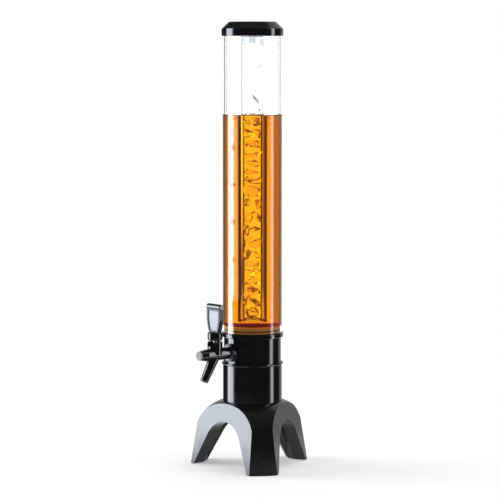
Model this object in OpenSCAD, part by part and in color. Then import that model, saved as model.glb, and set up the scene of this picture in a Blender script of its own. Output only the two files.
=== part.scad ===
// Three-litre drink tower: a clear tube with an ice core, on a collar with a
// rear-sealing tap, a column and a three-legged base.
// Millimetres, +Z up. The origin is the point on the table under the tube's axis.
// The tap points along -Y.

/* [Tube] */
// Outer diameter of the clear tube
tube_od = 100; // [80:1:120]
// Wall of the clear tube
tube_wall = 3; // [2:0.5:4]
// Length of the clear tube
tube_len = 516; // [300:1:620]

/* [Base] */
// Height of the column's lower end above the table
hub_top = 112.5; // [94:0.5:136]
// How far the base spreads past the tube at the table
foot_spread = 56.5; // [48:0.5:70]
// How far the base spreads past the tube at the crease of its legs
shoulder_spread = 45.2; // [37:0.2:56]
// Height of that crease
shoulder_z = 72.6; // [64:0.2:92]
// How far the crown above the crease bulges past a straight slope
crown_bulge = 6.5; // [2:0.1:8]
// How far the arch faces stand out past the tube at the hub's top
face_out = 6.4; // [3:0.1:10]
// Lean of the arch faces towards the axis, in degrees
face_lean = 8.2; // [5:0.1:12]
// Depth of the arch faces' reveals
reveal = 22; // [12:0.5:26]
// Depth of a leg, from its outer to its inner face
leg_depth = 20; // [14:0.5:26]
// Width of a leg's flank beside an arch, at the table
leg_flank = 6.9; // [5:0.1:16]
// Height of an arch opening
arch_top = 80; // [66:0.5:84]
// Radius of the round top of an arch opening
arch_r = 47.8; // [38:0.1:52]
// Thickness of the rubber foot pads
pad_t = 3; // [2:0.5:5]
// How far the pads stand below the legs
pad_proud = 1; // [0.5:0.1:2]

/* [Column] */
// Height of the column shell
column_h = 61.5; // [50:0.5:90]
// Wall of the column shell
column_wall = 3; // [2:0.5:5]
// Distance of the three base screws from the column's inner wall
screw_inset = 17; // [13:0.5:25]
// Radius of a base screw's shank
screw_r = 2; // [1.5:0.1:2.5]

/* [Collar] */
// How far the collar's body lies inside the tube's outer surface
collar_step = 1.6; // [0:0.1:3]
// Height of the collar's body between its bead and its rim
collar_h = 42.5; // [36:0.5:60]
// How far the bead and the rim stand out past the tube
rim_out = 2; // [1:0.1:4]
// Height of the bead
bead_h = 4.5; // [3:0.5:7]
// Height of the rim
rim_h = 7.8; // [6:0.1:12]
// Wall of the collar's cup inside the tube
spigot_wall = 4.2; // [3.6:0.1:6]
// Thickness of the cup's floor
cup_floor = 3; // [2:0.5:5]
// Height of the spigot inside the tube, above the rim
spigot_h = 12; // [8:0.5:20]

/* [Tap] */
// Height of the tap's boss above the collar's bead
boss_lift = 2.7; // [1:0.1:6]
// Radius of the barrel
barrel_r = 10.3; // [8.5:0.02:12.5]
// Wall of the barrel round the shank
barrel_wall = 2.3; // [1.8:0.1:3]
// Wall of the shank
shank_wall = 3; // [2.5:0.1:3.5]
// Distance of the lever's axis in front of the collar's boss
lever_reach = 31.4; // [28:0.1:38]
// Distance of the end cap's front face in front of the lever's axis
front_reach = 35.5; // [33:0.1:43]
// How far the silver end cap lies inside the barrel's outline
end_cap_step = 2.9; // [1.5:0.1:3.2]
// Height of the lever's ball above the barrel's top
ball_rise = 0.7; // [0:0.1:2]
// How far the lever swings forward, in degrees
lever_swing = 30; // [15:1:30]
// Angle of the spout forward of straight down, in degrees
spout_lean = 29.8; // [15:0.1:35]
// Length of the spout, from the tap's axis to its tip
spout_len = 50.7; // [44:0.1:60]
// Outer radius of the spout at its tip
spout_tip_r = 6.75; // [6:0.05:7.5]
// Radius of the spout's bore
spout_bore_r = 4.3; // [3:0.1:4.6]

/* [Handle] */
// Radius of the ferrule under the handle
ferrule_r = 12.5; // [11:0.1:13]
// Height of the ferrule
ferrule_h = 13.5; // [10:0.5:18]
// Width of the handle's frame
handle_w = 34; // [28:0.5:44]
// Width of the frame at its foot
handle_foot_w = 22.4; // [18:0.2:25]
// Height of the frame, from the ferrule to the bar's centre
handle_h = 42.7; // [34:0.1:60]
// Thickness of the frame
handle_t = 8.5; // [7:0.1:10]
// Width of the frame's side rails
handle_rail = 3.6; // [2.5:0.1:5]
// Radius of the bar across the top
bar_r = 5.25; // [4.5:0.05:6.5]
// Length of the bar
bar_len = 36; // [28:0.5:48]

/* [Lid and ice core] */
// Height of the lid's round band
lid_band = 12.2; // [10.5:0.1:18]
// Height of the chamfered top above the band
lid_rise = 11.5; // [8:0.1:16]
// How far the lid's flat top lies inside its round band
lid_taper = 12; // [4:0.5:18]
// Wall of the lid
lid_wall = 3; // [2:0.5:4]
// Outer radius of the ice tube
ice_r = 19.75; // [15:0.05:24]
// Wall of the ice tube
ice_wall = 2; // [1.5:0.1:3]
// Distance of the ice tube's lower end above the collar's cup
ice_clear = 5.7; // [2:0.1:60]
// How far the ice tube's flange stands out past the ice tube
ice_flange_out = 8.25; // [4:0.25:12]
// Thickness of the ice tube's flange
ice_flange_t = 4.7; // [3:0.1:6]
// How far the ice tube turns in the lid, in degrees
ice_twist = 45; // [30:1:60]

/* [Clearances] */
// Gap of a sliding or turning fit, on the radius
fit = 0.05; // [0.02:0.01:0.1]
// Gap between the lid's band and the tube
slip = 0.25; // [0.1:0.05:0.5]
// Gap between pieces that only pass each other
free = 0.3; // [0.2:0.05:0.4]

/* [Hidden] */
$fn = 96;
eps = 0.01;
far = 400;

// Radii that follow the tube
tube_r = tube_od / 2;
tube_ir = tube_r - tube_wall;
rim_r = tube_r + rim_out;
column_ir = tube_r - column_wall;
collar_r = tube_r - collar_step;
cup_r = tube_ir - spigot_wall;
foot_r = tube_r + foot_spread;
shoulder_r = tube_r + shoulder_spread;

// The tap's radii follow its barrel
shank_r = barrel_r - barrel_wall;
shank_bore_r = shank_r - shank_wall;
escutcheon_r = barrel_r + 4.9;
tap_boss_r = escutcheon_r + 0.6;
washer_r = escutcheon_r - 1.7;
chamber_r = barrel_r - 3.8;
end_cap_r = barrel_r - end_cap_step;
nose_r = end_cap_r + 0.5;
lever_arm = barrel_r + ball_rise;

// Heights from the table up
column_top = hub_top + column_h;
bead_top = column_top + bead_h;
tap_z = bead_top + boss_lift + tap_boss_r;
rim_bottom = bead_top + collar_h;
rim_top = rim_bottom + rim_h;
rim_floor = rim_bottom + 2;
spigot_top = rim_top + spigot_h;
tube_top = rim_floor + tube_len;
lid_lap = 10;
lid_bottom = tube_top - lid_lap;
lid_shoulder = lid_bottom + lid_band;
lid_top = lid_shoulder + lid_rise;

// Base
legs = 3;
face_dist = tube_r + face_out + hub_top * tan(face_lean);
arch_half = sqrt(foot_r * foot_r - face_dist * face_dist) - leg_flank;
arch_centre_z = arch_top - arch_r;
hub_out = 0.6;
crease_lap = 5;
crown_run = shoulder_r - tube_r - hub_out;
crown_drop = hub_top - shoulder_z;
crown_chord = sqrt(crown_run * crown_run + crown_drop * crown_drop);
crown_r = crown_chord * crown_chord / (8 * crown_bulge) + crown_bulge / 2;
crown_back = (crown_r - crown_bulge) / crown_chord;
crown_centre = [
  shoulder_r - crown_run / 2 - crown_drop * crown_back,
  shoulder_z + crown_drop / 2 - crown_run * crown_back
];
hub_spigot_h = 6;
cavity_top = hub_top - 20;
cavity_top_r = tube_r - 10;
screw_circle_r = column_ir - screw_inset;
screw_seat_z = hub_top - 9;
screw_head_r = 4.2;
screw_head_h = 3.2;
screw_end_z = hub_top + 22;
pad_inset = 1.2;

// Column
flange_z = hub_top + hub_spigot_h;
flange_t = 4;
flange_ir = column_ir - 25;
boss_r = 5.5;
boss_top = screw_end_z + 2;
housing_skirt = 14;

// O-rings: section radius, and the groove that holds each
seal_r = 1.2;
lid_seal_r = 1;
tube_seal_z = rim_top + 5;

// Tap, measured along its axis away from the tube
boss_in = cup_r - 3.3;
boss_out = collar_r + 2;
lever_dist = boss_out + lever_reach;
tap_front = lever_dist + front_reach;
washer_t = 1.5;
escutcheon_t = 4.5;
barrel_back = boss_out + washer_t + escutcheon_t;
seat_face = barrel_back + 7.6;
seat_t = 3;
barrel_nose = tap_front - 15.4;
barrel_front = tap_front - 3.3;
inner_washer_t = 2;
nut_af = 2 * shank_r + 8;
nut_t = 6;
shank_end = boss_in - inner_washer_t - nut_t - 4;
spout_root_r = barrel_r - 1.3;

// Valve: a shaft with a rubber disc behind the seat and a piston in front
shaft_r = 2.5;
disc_t = 3;
valve_room_r = shank_r - 1.8;
valve_room = disc_t + lever_arm * sin(lever_swing) + 1.5;
disc_r = valve_room_r - 0.6;
seat_r = disc_r - 1.4;
valve_head_r = seat_r - 0.2;
valve_head_t = 2.5;
yoke_r = chamber_r - 2;
yoke_half = 6.5;
yoke_flat = 1.4;
tip_r = 2.6;
tip_gap = 0.25;
piston_r = chamber_r - fit;
piston_t = 7;
piston_back = barrel_front - 16;
piston_seal_r = 0.65;

// Lever: a ball between a washer and the slotted bonnet
ball_r = barrel_r - 3.3;
ball_z = tap_z + lever_arm;
ball_hole_r = ball_r + free;
lower_stem_r = 1.9;
upper_stem_r = 3;
stem_hole_r = ball_r - 1.1;
ball_washer_drop = 4.4;
ball_washer_t = 1.1;
neck_r = ball_hole_r + 2.3;
neck_top = ball_z + 2.2;
turret_base_r = barrel_r + 2;
bonnet_r = turret_base_r + 0.45;
bonnet_ir = neck_r + 0.2;
bonnet_bottom = tap_z + barrel_r + free;
bonnet_web_z = neck_top + 0.2;
bonnet_web_t = 1.2;
bonnet_hole_r = ball_r - 0.3;
bonnet_top = ball_z + 10.4;
bonnet_slot_w = 8;
ferrule_gap = 2.4;
ferrule_bottom = bonnet_top + ferrule_gap;
ferrule_top = ferrule_bottom + ferrule_h;
swing_gap = 0.8;
bar_z = ferrule_top + handle_h;
frame_plug_r = ferrule_r - 4.5;
frame_plug_h = 8;
stem_top = ferrule_top + 4;

// Lid and ice core
lid_band_ir = tube_r + slip;
lid_plug_r = tube_ir - free;
lid_plug_ir = lid_plug_r - 3.5;
lid_plug_h = 7.5;
lid_seal_z = tube_top - 3.8;
lid_chamfer_r = rim_r - 1.2;
lid_flat_r = rim_r - lid_taper;
socket_r = ice_r + 4.75;
socket_ir = ice_r + 2.25;
socket_lip_t = 1.6;
neck_out_r = ice_r - 0.35;
socket_bottom = lid_bottom + 0.6;
ice_flange_r = ice_r + ice_flange_out;
ice_flange_top = lid_bottom - 1.8;
ice_flange_bottom = ice_flange_top - ice_flange_t;
ice_bottom = spigot_top + ice_clear;
ice_neck_top = socket_bottom + 7.4;
lug_r = socket_ir - 0.4;
lug_t = 2.5;
lug_span = 26;
plug_fit = 0.1;
plug_post_r = 5;

// ---- Shared shapes ----

// A round bar along the tap's axis, from distance a to distance b from the tube's axis
module along_tap(a, b, r1, r2) {
  translate([0, -a, tap_z])
    rotate([90, 0, 0])
      cylinder(h = b - a, r1 = r1, r2 = r2);
}

// An O-ring round the Z axis
module o_ring(centre_r, section_r, z) {
  rotate_extrude()
    translate([centre_r, z])
      circle(r = section_r, $fn = 32);
}

// A ring round the Z axis
module ring(r_out, r_in, z0, z1) {
  difference() {
    translate([0, 0, z0]) cylinder(h = z1 - z0, r = r_out);
    translate([0, 0, z0 - 1]) cylinder(h = z1 - z0 + 2, r = r_in);
  }
}

// ---- Base ----

// Everything inside the three leaning faces, at a distance from the axis at the table
module inside_faces(dist) {
  difference() {
    children();
    for (k = [0 : legs - 1])
      rotate([0, 0, k * 360 / legs])
        translate([0, -dist, 0])
          rotate([-face_lean, 0, 0])
            translate([-far / 2, -far, -far / 2])
              cube([far, far, far]);
  }
}

// The radius of a leg's outer face at a height below the crease
function leg_r(z) = foot_r + (shoulder_r - foot_r) * z / shoulder_z;

// The base's outline turned about the axis, drawn in by a wall: the legs' slope, and
// the round crown above the crease
module base_turned(wall, z0) {
  rotate_extrude()
    intersection() {
      polygon([
        [0, z0], [leg_r(z0) - wall, z0], [leg_r(hub_top) - wall, hub_top - wall],
        [0, hub_top - wall]
      ]);
      union() {
        translate(crown_centre) circle(r = crown_r - wall);
        square([far / 2, shoulder_z - crease_lap]);
      }
    }
}

// One arch opening: a round top on straight, spreading sides
module arch_outline() {
  side = sqrt(arch_half * arch_half + arch_centre_z * arch_centre_z);
  toward = atan2(arch_centre_z, -arch_half);
  tangent = sqrt(side * side - arch_r * arch_r);
  lean = toward - asin(arch_r / side);
  top_u = arch_half + tangent * cos(lean) - 0.1;
  top_z = tangent * sin(lean);
  translate([0, arch_centre_z]) circle(r = arch_r);
  polygon([[-arch_half, 0], [arch_half, 0], [top_u, top_z], [-top_u, top_z]]);
}

module arch_cuts() {
  for (k = [0 : legs - 1])
    rotate([0, 0, k * 360 / legs])
      rotate([90, 0, 0])
        linear_extrude(height = far / 2)
          arch_outline();
}

// The legs' outline without the arches' reveals, for the pockets and the pads
module leg_blocks(inset, z0, z1) {
  difference() {
    inside_faces(face_dist - inset)
      intersection() {
        base_turned(inset, z0);
        translate([-far / 2, -far / 2, z0]) cube([far, far, z1 - z0]);
      }
    translate([0, 0, z0 - 1])
      cylinder(h = z1 - z0 + 2, r1 = foot_r - leg_depth + inset, r2 = foot_r - leg_depth + inset);
    for (k = [0 : legs - 1])
      rotate([0, 0, k * 360 / legs])
        translate([-arch_half - inset, -far / 2, z0 - 1])
          cube([2 * (arch_half + inset), far / 2, z1 - z0 + 2]);
  }
}

module base_cavity() {
  inside_faces(face_dist - reveal)
    rotate_extrude()
      polygon([
        [0, -1], [foot_r - leg_depth, -1], [shoulder_r - leg_depth, shoulder_z - 8],
        [cavity_top_r, cavity_top], [0, cavity_top]
      ]);
}

module at_screws() {
  for (k = [0 : 2])
    rotate([0, 0, 30 + k * 120])
      translate([screw_circle_r, 0, 0])
        children();
}

module tripod_base() {
  color([0.05, 0.05, 0.06])
    difference() {
      union() {
        inside_faces(face_dist) base_turned(0, pad_proud);
        translate([0, 0, hub_top - 5])
          cylinder(h = 5 + hub_spigot_h, r = column_ir - fit);
      }
      arch_cuts();
      base_cavity();
      leg_blocks(pad_inset, -1, pad_t);
      at_screws() {
        translate([0, 0, -1]) cylinder(h = screw_seat_z + 1, r = screw_head_r + 1);
        cylinder(h = far, r = screw_r + 0.4);
      }
    }
}

module foot_pads() {
  color([0.09, 0.09, 0.1])
    leg_blocks(pad_inset + fit, 0, pad_t);
}

module base_screws() {
  color([0.62, 0.63, 0.65])
    at_screws()
      difference() {
        union() {
          translate([0, 0, screw_seat_z]) cylinder(h = screw_end_z - screw_seat_z, r = screw_r);
          translate([0, 0, screw_seat_z - screw_head_h])
            cylinder(h = screw_head_h, r1 = screw_head_r - 0.8, r2 = screw_head_r);
        }
        translate([-0.6, -screw_head_r, screw_seat_z - screw_head_h - eps])
          cube([1.2, 2 * screw_head_r, 1.4]);
        translate([-screw_head_r, -0.6, screw_seat_z - screw_head_h - eps])
          cube([2 * screw_head_r, 1.2, 1.4]);
      }
}

module column_shell() {
  color([0.05, 0.05, 0.06])
    difference() {
      union() {
        ring(tube_r, column_ir, hub_top, column_top);
        ring(column_ir + 1, flange_ir, flange_z, flange_z + flange_t);
        at_screws()
          translate([0, 0, flange_z]) cylinder(h = boss_top - flange_z, r = boss_r);
      }
      at_screws()
        translate([0, 0, hub_top]) cylinder(h = screw_end_z - hub_top + 1, r = screw_r + fit);
    }
}

// ---- Collar and tube ----

module tap_housing() {
  color([0.05, 0.05, 0.06])
    difference() {
      union() {
        rotate_extrude()
          polygon([
            [cup_r, column_top - housing_skirt], [column_ir - fit, column_top - housing_skirt],
            [column_ir - fit, column_top], [rim_r - bead_h / 2, column_top],
            [rim_r - bead_h / 6, column_top + bead_h / 12], [rim_r, column_top + bead_h / 3],
            [rim_r, bead_top - bead_h / 3], [rim_r - bead_h / 6, bead_top - bead_h / 12],
            [rim_r - bead_h / 2, bead_top], [collar_r, bead_top], [collar_r, rim_bottom],
            [rim_r - 0.8, rim_bottom],
            [rim_r, rim_bottom + 0.8], [rim_r, rim_top - 0.8], [rim_r - 0.8, rim_top],
            [tube_r + fit, rim_top], [tube_r + fit, rim_floor], [tube_ir - fit, rim_floor],
            [tube_ir - fit, spigot_top - 1], [tube_ir - fit - 1, spigot_top], [cup_r, spigot_top]
          ]);
        translate([0, 0, column_top + 1])
          cylinder(h = bead_top - column_top - 1 + cup_floor, r = cup_r + 1);
        intersection() {
          along_tap(boss_in, boss_out, tap_boss_r, tap_boss_r);
          translate([0, 0, bead_top - 1]) cylinder(h = collar_h, r = boss_out + 20);
        }
      }
      along_tap(boss_in - 5, boss_out + 5, shank_r + fit, shank_r + fit);
      ring(tube_ir, tube_ir - 2 * fit - 2 * seal_r, tube_seal_z - seal_r, tube_seal_z + seal_r);
    }
}

module tube_seal() {
  color([0.1, 0.1, 0.1])
    o_ring(tube_ir - fit - seal_r, seal_r, tube_seal_z);
}

module main_tube() {
  color([0.95, 0.65, 0.2, 0.35])
    ring(tube_r, tube_ir, rim_floor, tube_top);
}

// ---- Lid and ice core ----

module lid() {
  color([0.05, 0.05, 0.06])
    difference() {
      union() {
        rotate_extrude()
          polygon([
            [0, lid_top], [lid_flat_r - 0.6, lid_top], [lid_flat_r, lid_top - 0.3],
            [lid_chamfer_r, lid_shoulder + 0.8], [rim_r, lid_shoulder], [rim_r, lid_bottom + 0.5],
            [rim_r - 0.5, lid_bottom], [lid_band_ir, lid_bottom], [lid_band_ir, tube_top],
            [lid_plug_r, tube_top], [lid_plug_r, tube_top - lid_plug_h + 1],
            [lid_plug_r - 1, tube_top - lid_plug_h], [lid_plug_ir, tube_top - lid_plug_h],
            [lid_plug_ir, lid_shoulder + 0.6], [lid_flat_r - 1.4, lid_top - lid_wall],
            [0, lid_top - lid_wall]
          ]);
        ring(socket_r, socket_ir, socket_bottom, lid_top - 1);
        ring(socket_r - 1, neck_out_r + free, socket_bottom, socket_bottom + socket_lip_t);
      }
      ring(lid_plug_r + 1, tube_ir - 2 * fit - 2 * lid_seal_r, lid_seal_z - lid_seal_r, lid_seal_z + lid_seal_r);
      for (k = [0 : 2])
        rotate([0, 0, k * 120 + ice_twist])
          lug_sector(socket_ir, socket_bottom - 1, socket_bottom + socket_lip_t + 1, lug_span + 4);
    }
}

// A wedge of a disc, for the bayonet's lugs and the notches that they pass
module lug_sector(r, z0, z1, span) {
  intersection() {
    translate([0, 0, z0]) cylinder(h = z1 - z0, r = r);
    translate([0, 0, z0])
      linear_extrude(height = z1 - z0)
        polygon([[0, 0], [60 * cos(span / 2), -60 * sin(span / 2)],
                 [60 * cos(span / 2), 60 * sin(span / 2)]]);
  }
}

module lid_seal() {
  color([0.1, 0.1, 0.1])
    o_ring(tube_ir - fit - lid_seal_r, lid_seal_r, lid_seal_z);
}

module ice_tube() {
  color([0.9, 0.92, 0.95, 0.4])
    difference() {
      union() {
        rotate_extrude()
          polygon([
            [0, ice_bottom], [ice_r - 3, ice_bottom], [ice_r - 0.9, ice_bottom + 0.9],
            [ice_r, ice_bottom + 3], [ice_r, ice_flange_bottom], [ice_flange_r, ice_flange_bottom],
            [ice_flange_r, ice_flange_top], [neck_out_r, ice_flange_top],
            [neck_out_r, ice_neck_top], [0, ice_neck_top]
          ]);
        for (k = [0 : 2])
          rotate([0, 0, k * 120])
            lug_sector(lug_r, socket_bottom + socket_lip_t + free,
                       socket_bottom + socket_lip_t + free + lug_t, lug_span);
      }
      translate([0, 0, ice_bottom + ice_wall + 1])
        cylinder(h = far * 2, r = ice_r - ice_wall);
    }
}

module ice_plug() {
  plug_r = ice_r - ice_wall - plug_fit;
  color([0.75, 0.8, 0.86, 0.6])
    rotate_extrude()
      polygon([
        [0, ice_flange_bottom - 5.5], [plug_post_r, ice_flange_bottom - 5.5],
        [plug_post_r, ice_neck_top - 4], [plug_r - 1.8, ice_neck_top - 4],
        [plug_r - 1.8, ice_flange_top], [plug_r, ice_flange_top], [plug_r, ice_neck_top],
        [neck_out_r, ice_neck_top], [neck_out_r, ice_neck_top + 1.5], [0, ice_neck_top + 1.5]
      ]);
}

// ---- Tap ----

// The spout's axis, from the tap's axis forward and down
module on_spout() {
  translate([0, -(lever_dist - 1.2), tap_z])
    rotate([-spout_lean, 0, 0])
      rotate([180, 0, 0])
        children();
}

module tap_body() {
  color([0.04, 0.04, 0.05])
    difference() {
      union() {
        along_tap(barrel_back, barrel_nose, barrel_r, barrel_r);
        along_tap(barrel_nose, barrel_front, barrel_r - 0.5, nose_r);
        translate([0, -lever_dist, tap_z])
          cylinder(h = bonnet_bottom - free - tap_z, r = turret_base_r);
        translate([0, -lever_dist, tap_z]) cylinder(h = neck_top - tap_z, r = neck_r);
        on_spout() cylinder(h = spout_len, r1 = spout_root_r, r2 = spout_tip_r);
      }
      along_tap(barrel_back - 1, seat_face, shank_r + fit, shank_r + fit);
      along_tap(seat_face - 1, seat_face + seat_t + 1, seat_r, seat_r);
      along_tap(seat_face + seat_t, barrel_front + 1, chamber_r, chamber_r);
      translate([0, -lever_dist, tap_z]) cylinder(h = lever_arm, r = stem_hole_r);
      translate([0, -lever_dist, ball_z - ball_washer_drop])
        cylinder(h = 20, r = ball_hole_r);
      on_spout() cylinder(h = spout_len + 1, r = spout_bore_r);
    }
}

module tap_shank() {
  color([0.6, 0.6, 0.62])
    difference() {
      along_tap(shank_end, seat_face, shank_r, shank_r);
      along_tap(shank_end - 1, seat_face + 1, shank_bore_r, shank_bore_r);
      along_tap(seat_face - valve_room, seat_face + 1, valve_room_r, valve_room_r);
    }
}

module tap_nut() {
  nut_in = boss_in - inner_washer_t;
  color([0.55, 0.56, 0.58])
    difference() {
      translate([0, -(nut_in - nut_t), tap_z])
        rotate([90, 0, 0])
          cylinder(h = nut_t, r = nut_af / 2 / cos(30), $fn = 6);
      along_tap(nut_in - nut_t - 1, nut_in + 1, shank_r + fit, shank_r + fit);
    }
}

module tap_ring(a, b, r_out, r_in) {
  difference() {
    along_tap(a, b, r_out, r_out);
    along_tap(a - 1, b + 1, r_in, r_in);
  }
}

module inner_washer() {
  color([0.12, 0.12, 0.12])
    tap_ring(boss_in - inner_washer_t, boss_in, washer_r, shank_r + fit);
}

module outer_washer() {
  color([0.12, 0.12, 0.12])
    tap_ring(boss_out, boss_out + washer_t, washer_r, shank_r + fit);
}

module escutcheon() {
  plate = boss_out + washer_t;
  color([0.05, 0.05, 0.06])
    difference() {
      union() {
        along_tap(plate, plate + 1.4, escutcheon_r, escutcheon_r);
        along_tap(plate + 1.4, plate + 2.2, escutcheon_r, escutcheon_r - 0.9);
        along_tap(plate + 2.2, plate + 3.6, escutcheon_r - 2.2, escutcheon_r - 2.2);
        along_tap(plate + 3.6, plate + escutcheon_t, escutcheon_r - 2.2, escutcheon_r - 3.1);
      }
      along_tap(plate - 1, plate + escutcheon_t + 1, shank_r + fit, shank_r + fit);
    }
}

module end_cap() {
  color([0.8, 0.81, 0.83])
    union() {
      along_tap(barrel_front, tap_front - 0.8, end_cap_r, end_cap_r);
      along_tap(tap_front - 0.8, tap_front, end_cap_r, end_cap_r - 0.8);
      along_tap(barrel_front - 7, barrel_front, piston_r, piston_r);
    }
}

module valve_shaft() {
  color([0.7, 0.71, 0.73])
    difference() {
      union() {
        along_tap(seat_face - disc_t - valve_head_t, seat_face - disc_t, valve_head_r, valve_head_r);
        along_tap(seat_face - disc_t, piston_back + 1, shaft_r, shaft_r);
        along_tap(lever_dist - yoke_half, lever_dist + yoke_half, yoke_r, yoke_r);
        along_tap(piston_back, piston_back + piston_t, piston_r, piston_r);
      }
      translate([-yoke_r - 1, -lever_dist - yoke_half - 1, tap_z + yoke_flat])
        cube([2 * yoke_r + 2, 2 * yoke_half + 2, yoke_r]);
      translate([-tip_r - 0.4, -lever_dist - tip_r - tip_gap, tap_z - yoke_r - 1])
        cube([2 * tip_r + 0.8, 2 * (tip_r + tip_gap), 2 * yoke_r]);
      tap_ring(piston_back + 2.8, piston_back + 4.2, chamber_r + 1, piston_r - 2 * piston_seal_r - fit);
    }
}

module valve_disc() {
  color([0.1, 0.1, 0.1])
    tap_ring(seat_face - disc_t, seat_face, disc_r, shaft_r);
}

module piston_seal() {
  color([0.1, 0.1, 0.1])
    translate([0, -(piston_back + 3.5), tap_z])
      rotate([90, 0, 0])
        o_ring(piston_r - piston_seal_r, piston_seal_r, 0);
}

module ball_washer() {
  color([0.85, 0.85, 0.82])
    translate([0, -lever_dist, 0])
      ring(ball_hole_r - fit, ball_r - 0.6,
           ball_z - ball_washer_drop, ball_z - ball_washer_drop + ball_washer_t);
}

module bonnet() {
  color([0.04, 0.04, 0.05])
    difference() {
      translate([0, -lever_dist, 0])
        difference() {
          ring(bonnet_r, bonnet_hole_r, bonnet_bottom, bonnet_top);
          translate([0, 0, bonnet_bottom - 1])
            cylinder(h = bonnet_web_z - bonnet_bottom + 1, r = neck_r + fit);
          translate([0, 0, bonnet_web_z + bonnet_web_t]) cylinder(h = 20, r = bonnet_ir);
          translate([-bonnet_slot_w / 2, -20, bonnet_web_z + bonnet_web_t])
            cube([bonnet_slot_w, 20, 20]);
        }
      translate([0, -lever_dist, ball_z])
        rotate([lever_swing, 0, 0])
          translate([-20, -40, ferrule_bottom - ball_z - swing_gap])
            cube([40, 80, 40]);
    }
}

// ---- Lever and handle ----

module lever_stem() {
  color([0.7, 0.71, 0.73])
    translate([0, -lever_dist, 0]) {
      translate([0, 0, tap_z]) sphere(r = tip_r, $fn = 48);
      translate([0, 0, tap_z]) cylinder(h = lever_arm, r = lower_stem_r);
      translate([0, 0, ball_z]) sphere(r = ball_r);
      translate([0, 0, ball_z]) cylinder(h = stem_top - ball_z, r = upper_stem_r);
    }
}

module ferrule() {
  color([0.05, 0.05, 0.06])
    translate([0, -lever_dist, 0])
      rotate_extrude()
        polygon([
          [upper_stem_r + fit, ferrule_bottom], [ferrule_r - 1.6, ferrule_bottom],
          [ferrule_r, ferrule_bottom + 2.4], [ferrule_r, ferrule_top - 1.2],
          [ferrule_r - 1.2, ferrule_top], [frame_plug_r + fit, ferrule_top],
          [frame_plug_r + fit, ferrule_top - frame_plug_h], [upper_stem_r + fit, ferrule_top - frame_plug_h]
        ]);
}

// Half the frame's width at a share of its height: round below, upright above
function half_w(share, inset) =
  handle_foot_w / 2 + (handle_w - handle_foot_w) / 2 * sin(90 * min(share / 0.6, 1)) - inset;

module handle_outline(z0, z1, inset) {
  steps = 16;
  share = function (k) (z0 + (z1 - z0) * k / steps - ferrule_top) / handle_h;
  polygon(concat(
    [for (k = [0 : steps]) [half_w(share(k), inset), z0 + (z1 - z0) * k / steps]],
    [for (k = [steps : -1 : 0]) [-half_w(share(k), inset), z0 + (z1 - z0) * k / steps]]
  ));
}

// A flat slab of an outline drawn in X and Z, centred on the lever
module slab(t) {
  translate([0, -lever_dist + t / 2, 0])
    rotate([90, 0, 0])
      linear_extrude(height = t)
        children();
}

module handle_window(inset) {
  handle_outline(ferrule_top + 3, bar_z - bar_r - 0.5, handle_rail + inset);
}

module handle_frame() {
  color([0.05, 0.05, 0.06])
    difference() {
      union() {
        slab(handle_t) handle_outline(ferrule_top, bar_z, 0);
        translate([0, -lever_dist, ferrule_top - frame_plug_h])
          cylinder(h = frame_plug_h + 1, r = frame_plug_r);
      }
      slab(handle_t + 2) handle_window(0);
      translate([0, -lever_dist, ferrule_top - frame_plug_h - 1])
        cylinder(h = stem_top - ferrule_top + frame_plug_h + 1, r = upper_stem_r + fit);
      translate([-far / 2, -lever_dist, bar_z]) rotate([0, 90, 0]) cylinder(h = far, r = bar_r);
    }
}

module handle_insert() {
  difference() {
    color([0.78, 0.79, 0.86])
      slab(handle_t - 3) handle_window(0);
    translate([0, -lever_dist, ferrule_top])
      cylinder(h = stem_top - ferrule_top, r = upper_stem_r + free);
  }
}

module handle_bar() {
  color([0.05, 0.05, 0.06])
    translate([-bar_len / 2, -lever_dist, bar_z])
      rotate([0, 90, 0]) {
        cylinder(h = 1, r1 = bar_r - 1, r2 = bar_r);
        translate([0, 0, 1]) cylinder(h = bar_len - 2, r = bar_r);
        translate([0, 0, bar_len - 1]) cylinder(h = 1, r1 = bar_r, r2 = bar_r - 1);
      }
}

tripod_base();
foot_pads();
base_screws();
column_shell();
tap_housing();
tube_seal();
main_tube();
lid();
lid_seal();
ice_tube();
ice_plug();
tap_body();
tap_shank();
tap_nut();
inner_washer();
outer_washer();
escutcheon();
end_cap();
valve_shaft();
valve_disc();
piston_seal();
ball_washer();
bonnet();
lever_stem();
ferrule();
handle_frame();
handle_insert();
handle_bar();
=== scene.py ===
"""Looks of a drink tower: clear tube with its drink and ice, black collar, tap, column and three-legged base.

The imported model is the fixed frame, in metres. Sizes here are in millimetres unless a name says otherwise.
"""

import logging
import math
import random
from dataclasses import dataclass, field
from enum import Enum
from typing import Optional, Sequence

import bmesh
import bpy
from mathutils import Matrix, Vector


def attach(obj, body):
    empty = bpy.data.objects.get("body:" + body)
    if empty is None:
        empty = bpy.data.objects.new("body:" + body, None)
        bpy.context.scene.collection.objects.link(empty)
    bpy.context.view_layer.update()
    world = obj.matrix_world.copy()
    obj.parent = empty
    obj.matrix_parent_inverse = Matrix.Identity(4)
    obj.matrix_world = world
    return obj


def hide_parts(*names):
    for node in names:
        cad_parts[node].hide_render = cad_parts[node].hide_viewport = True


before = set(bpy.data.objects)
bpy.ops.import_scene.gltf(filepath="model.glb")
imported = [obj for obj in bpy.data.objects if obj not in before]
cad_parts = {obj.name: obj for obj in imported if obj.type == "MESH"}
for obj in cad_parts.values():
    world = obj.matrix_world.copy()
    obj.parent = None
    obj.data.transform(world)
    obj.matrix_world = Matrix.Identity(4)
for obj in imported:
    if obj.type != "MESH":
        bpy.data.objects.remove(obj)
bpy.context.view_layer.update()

MM = 0.001
TURN = 2 * math.pi
SHARP_ANGLE = 38.0
FLAT_ANGLE = 0.4
EVEN_WEIGHT = 60
ROUND_STEPS = 192
LOG = logging.getLogger("tower")

Point = tuple[float, float]
Span = tuple[float, float]
Colour = tuple[float, float, float]


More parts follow.
